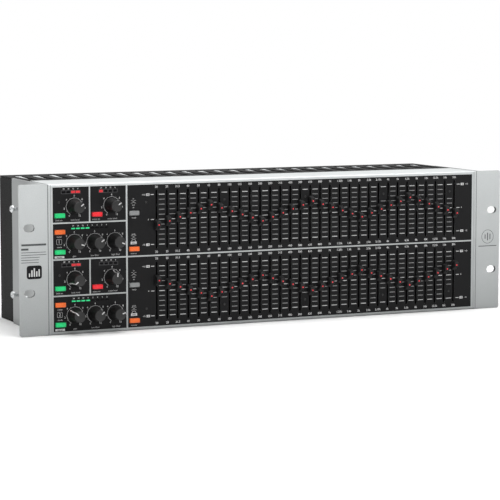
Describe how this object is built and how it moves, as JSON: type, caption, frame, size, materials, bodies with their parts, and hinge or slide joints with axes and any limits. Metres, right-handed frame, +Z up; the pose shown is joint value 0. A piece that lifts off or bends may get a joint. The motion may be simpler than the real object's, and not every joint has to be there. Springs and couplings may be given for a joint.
{
  "type": "graphic equalizer",
  "caption": "Rack-mounting two-channel graphic equalizer: silver-eared panel, black fields, rows of slide faders, skirted knobs, lit push buttons, vented steel case.",
  "frame": {"origin": "under the middle of the object's box, on the surface it stands on", "axes": "+X to the right of someone facing the front, +Y from the front panel to the rear connectors, +Z up"},
  "size_m": [0.4826, 0.15, 0.1325],
  "materials": {
    "painted_silver": "satin silver paint",
    "black_steel": "fine textured black powder coat",
    "black_plastic": "moulded, slightly satin",
    "knob_plastic": "soft matte",
    "fader_track": "matte",
    "green_button": "translucent, lit",
    "red_button": "translucent, lit",
    "orange_button": "translucent, lit",
    "grey_button": "satin",
    "circuit_board": "solder mask",
    "transformer_steel": "varnished laminations"
  },
  "bodies": {
    "root": {"front_panel": "painted_silver", "left_rack_bracket": "painted_silver", "right_rack_bracket": "painted_silver", "chassis_tray": "black_steel", "top_cover": "black_steel", "upper_fader_bank": "fader_track", "lower_fader_bank": "fader_track", "upper_fader_board": "circuit_board", "lower_fader_board": "circuit_board", "control_board": "circuit_board", "main_board": "circuit_board", "mains_transformer": "transformer_steel", "rear_io_board": "circuit_board", "mains_inlet": "black_plastic", "fuse_holder": "black_plastic"},
    "upper_fader_group_01": {"upper_fader_group_01": "black_plastic"},
    "upper_fader_group_02": {"upper_fader_group_02": "black_plastic"},
    "upper_fader_group_03": {"upper_fader_group_03": "black_plastic"},
    "upper_fader_group_04": {"upper_fader_group_04": "black_plastic"},
    "upper_fader_group_05": {"upper_fader_group_05": "black_plastic"},
    "upper_fader_group_06": {"upper_fader_group_06": "black_plastic"},
    "upper_fader_group_07": {"upper_fader_group_07": "black_plastic"},
    "upper_fader_group_08": {"upper_fader_group_08": "black_plastic"},
    "upper_fader_group_09": {"upper_fader_group_09": "black_plastic"},
    "upper_fader_group_10": {"upper_fader_group_10": "black_plastic"},
    "upper_fader_group_11": {"upper_fader_group_11": "black_plastic"},
    "upper_limiter_knob": {"upper_limiter_knob": "knob_plastic"},
    "upper_noise_gate_knob": {"upper_noise_gate_knob": "knob_plastic"},
    "upper_gain_knob": {"upper_gain_knob": "knob_plastic"},
    "upper_low_cut_knob": {"upper_low_cut_knob": "knob_plastic"},
    "upper_high_cut_knob": {"upper_high_cut_knob": "knob_plastic"},
    "upper_limiter_button": {"upper_limiter_button": "green_button"},
    "upper_noise_gate_button": {"upper_noise_gate_button": "red_button"},
    "upper_meter_button": {"upper_meter_button": "orange_button"},
    "upper_bypass_button": {"upper_bypass_button": "green_button"},
    "upper_range_button": {"upper_range_button": "grey_button"},
    "upper_contour_button": {"upper_contour_button": "orange_button"},
    "lower_fader_group_01": {"lower_fader_group_01": "black_plastic"},
    "lower_fader_group_02": {"lower_fader_group_02": "black_plastic"},
    "lower_fader_group_03": {"lower_fader_group_03": "black_plastic"},
    "lower_fader_group_04": {"lower_fader_group_04": "black_plastic"},
    "lower_fader_group_05": {"lower_fader_group_05": "black_plastic"},
    "lower_fader_group_06": {"lower_fader_group_06": "black_plastic"},
    "lower_fader_group_07": {"lower_fader_group_07": "black_plastic"},
    "lower_fader_group_08": {"lower_fader_group_08": "black_plastic"},
    "lower_fader_group_09": {"lower_fader_group_09": "black_plastic"},
    "lower_fader_group_10": {"lower_fader_group_10": "black_plastic"},
    "lower_fader_group_11": {"lower_fader_group_11": "black_plastic"},
    "lower_limiter_knob": {"lower_limiter_knob": "knob_plastic"},
    "lower_noise_gate_knob": {"lower_noise_gate_knob": "knob_plastic"},
    "lower_gain_knob": {"lower_gain_knob": "knob_plastic"},
    "lower_low_cut_knob": {"lower_low_cut_knob": "knob_plastic"},
    "lower_high_cut_knob": {"lower_high_cut_knob": "knob_plastic"},
    "lower_limiter_button": {"lower_limiter_button": "green_button"},
    "lower_noise_gate_button": {"lower_noise_gate_button": "red_button"},
    "lower_meter_button": {"lower_meter_button": "orange_button"},
    "lower_bypass_button": {"lower_bypass_button": "green_button"},
    "lower_range_button": {"lower_range_button": "grey_button"},
    "lower_contour_button": {"lower_contour_button": "orange_button"},
    "power_rocker": {"power_rocker": "black_plastic"}
  },
  "joints": [
    {"name": "upper_octave_01_slide", "type": "slide", "parent": "root", "child": "upper_fader_group_01", "axis": [0, 0, 1], "range_m": [-0.0175, 0.02382]},
    {"name": "upper_octave_02_slide", "type": "slide", "parent": "root", "child": "upper_fader_group_02", "axis": [0, 0, 1], "range_m": [-0.02406, 0.01398]},
    {"name": "upper_octave_03_slide", "type": "slide", "parent": "root", "child": "upper_fader_group_03", "axis": [0, 0, 1], "range_m": [-0.02734, 0.0107]},
    {"name": "upper_octave_04_slide", "type": "slide", "parent": "root", "child": "upper_fader_group_04", "axis": [0, 0, 1], "range_m": [-0.0175, 0.02054]},
    {"name": "upper_octave_05_slide", "type": "slide", "parent": "root", "child": "upper_fader_group_05", "axis": [0, 0, 1], "range_m": [-0.02078, 0.01726]},
    {"name": "upper_octave_06_slide", "type": "slide", "parent": "root", "child": "upper_fader_group_06", "axis": [0, 0, 1], "range_m": [-0.03062, 0.0107]},
    {"name": "upper_octave_07_slide", "type": "slide", "parent": "root", "child": "upper_fader_group_07", "axis": [0, 0, 1], "range_m": [-0.02078, 0.01726]},
    {"name": "upper_octave_08_slide", "type": "slide", "parent": "root", "child": "upper_fader_group_08", "axis": [0, 0, 1], "range_m": [-0.0175, 0.02054]},
    {"name": "upper_octave_09_slide", "type": "slide", "parent": "root", "child": "upper_fader_group_09", "axis": [0, 0, 1], "range_m": [-0.02734, 0.0107]},
    {"name": "upper_octave_10_slide", "type": "slide", "parent": "root", "child": "upper_fader_group_10", "axis": [0, 0, 1], "range_m": [-0.02406, 0.01398]},
    {"name": "upper_octave_11_slide", "type": "slide", "parent": "root", "child": "upper_fader_group_11", "axis": [0, 0, 1], "range_m": [-0.0175, 0.02382]},
    {"name": "upper_limiter_knob_turn", "type": "hinge", "parent": "root", "child": "upper_limiter_knob", "pos_m": [-0.1909, -0.061, 0.1125], "axis": [0, 1, 0], "range_deg": [-203, 97]},
    {"name": "upper_noise_gate_knob_turn", "type": "hinge", "parent": "root", "child": "upper_noise_gate_knob", "pos_m": [-0.1561, -0.061, 0.1125], "axis": [0, 1, 0], "range_deg": [-203, 97]},
    {"name": "upper_gain_knob_turn", "type": "hinge", "parent": "root", "child": "upper_gain_knob", "pos_m": [-0.1911, -0.061, 0.0807], "axis": [0, 1, 0], "range_deg": [-258, 42]},
    {"name": "upper_low_cut_knob_turn", "type": "hinge", "parent": "root", "child": "upper_low_cut_knob", "pos_m": [-0.1722, -0.061, 0.0807], "axis": [0, 1, 0], "range_deg": [-203, 97]},
    {"name": "upper_high_cut_knob_turn", "type": "hinge", "parent": "root", "child": "upper_high_cut_knob", "pos_m": [-0.1533, -0.061, 0.0807], "axis": [0, 1, 0], "range_deg": [-260, 40]},
    {"name": "upper_limiter_button_press", "type": "slide", "parent": "root", "child": "upper_limiter_button", "axis": [0, 1, 0], "range_m": [0, 0.0025], "stiffness_N_per_m": 200},
    {"name": "upper_noise_gate_button_press", "type": "slide", "parent": "root", "child": "upper_noise_gate_button", "axis": [0, 1, 0], "range_m": [0, 0.0025], "stiffness_N_per_m": 200},
    {"name": "upper_meter_button_press", "type": "slide", "parent": "root", "child": "upper_meter_button", "axis": [0, 1, 0], "range_m": [0, 0.0025], "stiffness_N_per_m": 200},
    {"name": "upper_bypass_button_press", "type": "slide", "parent": "root", "child": "upper_bypass_button", "axis": [0, 1, 0], "range_m": [0, 0.0025], "stiffness_N_per_m": 200},
    {"name": "upper_range_button_press", "type": "slide", "parent": "root", "child": "upper_range_button", "axis": [0, 1, 0], "range_m": [0, 0.0025], "stiffness_N_per_m": 200},
    {"name": "upper_contour_button_press", "type": "slide", "parent": "root", "child": "upper_contour_button", "axis": [0, 1, 0], "range_m": [0, 0.0025], "stiffness_N_per_m": 200},
    {"name": "lower_octave_01_slide", "type": "slide", "parent": "root", "child": "lower_fader_group_01", "axis": [0, 0, 1], "range_m": [-0.0286, 0.0127]},
    {"name": "lower_octave_02_slide", "type": "slide", "parent": "root", "child": "lower_fader_group_02", "axis": [0, 0, 1], "range_m": [-0.0187, 0.0193]},
    {"name": "lower_octave_03_slide", "type": "slide", "parent": "root", "child": "lower_fader_group_03", "axis": [0, 0, 1], "range_m": [-0.0154, 0.0226]},
    {"name": "lower_octave_04_slide", "type": "slide", "parent": "root", "child": "lower_fader_group_04", "axis": [0, 0, 1], "range_m": [-0.0253, 0.0127]},
    {"name": "lower_octave_05_slide", "type": "slide", "parent": "root", "child": "lower_fader_group_05", "axis": [0, 0, 1], "range_m": [-0.022, 0.016]},
    {"name": "lower_octave_06_slide", "type": "slide", "parent": "root", "child": "lower_fader_group_06", "axis": [0, 0, 1], "range_m": [-0.0154, 0.0259]},
    {"name": "lower_octave_07_slide", "type": "slide", "parent": "root", "child": "lower_fader_group_07", "axis": [0, 0, 1], "range_m": [-0.022, 0.016]},
    {"name": "lower_octave_08_slide", "type": "slide", "parent": "root", "child": "lower_fader_group_08", "axis": [0, 0, 1], "range_m": [-0.0253, 0.0127]},
    {"name": "lower_octave_09_slide", "type": "slide", "parent": "root", "child": "lower_fader_group_09", "axis": [0, 0, 1], "range_m": [-0.0154, 0.0226]},
    {"name": "lower_octave_10_slide", "type": "slide", "parent": "root", "child": "lower_fader_group_10", "axis": [0, 0, 1], "range_m": [-0.0187, 0.0193]},
    {"name": "lower_octave_11_slide", "type": "slide", "parent": "root", "child": "lower_fader_group_11", "axis": [0, 0, 1], "range_m": [-0.0286, 0.0127]},
    {"name": "lower_limiter_knob_turn", "type": "hinge", "parent": "root", "child": "lower_limiter_knob", "pos_m": [-0.1909, -0.061, 0.0484], "axis": [0, 1, 0], "range_deg": [-26, 274]},
    {"name": "lower_noise_gate_knob_turn", "type": "hinge", "parent": "root", "child": "lower_noise_gate_knob", "pos_m": [-0.1561, -0.061, 0.0484], "axis": [0, 1, 0], "range_deg": [-155, 145]},
    {"name": "lower_gain_knob_turn", "type": "hinge", "parent": "root", "child": "lower_gain_knob", "pos_m": [-0.1911, -0.061, 0.0166], "axis": [0, 1, 0], "range_deg": [-105, 195]},
    {"name": "lower_low_cut_knob_turn", "type": "hinge", "parent": "root", "child": "lower_low_cut_knob", "pos_m": [-0.1722, -0.061, 0.0166], "axis": [0, 1, 0], "range_deg": [-198, 102]},
    {"name": "lower_high_cut_knob_turn", "type": "hinge", "parent": "root", "child": "lower_high_cut_knob", "pos_m": [-0.1533, -0.061, 0.0166], "axis": [0, 1, 0], "range_deg": [-220, 80]},
    {"name": "lower_limiter_button_press", "type": "slide", "parent": "root", "child": "lower_limiter_button", "axis": [0, 1, 0], "range_m": [0, 0.0025], "stiffness_N_per_m": 200},
    {"name": "lower_noise_gate_button_press", "type": "slide", "parent": "root", "child": "lower_noise_gate_button", "axis": [0, 1, 0], "range_m": [0, 0.0025], "stiffness_N_per_m": 200},
    {"name": "lower_meter_button_press", "type": "slide", "parent": "root", "child": "lower_meter_button", "axis": [0, 1, 0], "range_m": [0, 0.0025], "stiffness_N_per_m": 200},
    {"name": "lower_bypass_button_press", "type": "slide", "parent": "root", "child": "lower_bypass_button", "axis": [0, 1, 0], "range_m": [0, 0.0025], "stiffness_N_per_m": 200},
    {"name": "lower_range_button_press", "type": "slide", "parent": "root", "child": "lower_range_button", "axis": [0, 1, 0], "range_m": [0, 0.0025], "stiffness_N_per_m": 200},
    {"name": "lower_contour_button_press", "type": "slide", "parent": "root", "child": "lower_contour_button", "axis": [0, 1, 0], "range_m": [0, 0.0025], "stiffness_N_per_m": 200},
    {"name": "power_rocker_tip", "type": "hinge", "parent": "root", "child": "power_rocker", "pos_m": [0.18, 0.06949, 0.06], "axis": [1, 0, 0], "range_deg": [0, 18]}
  ]
}
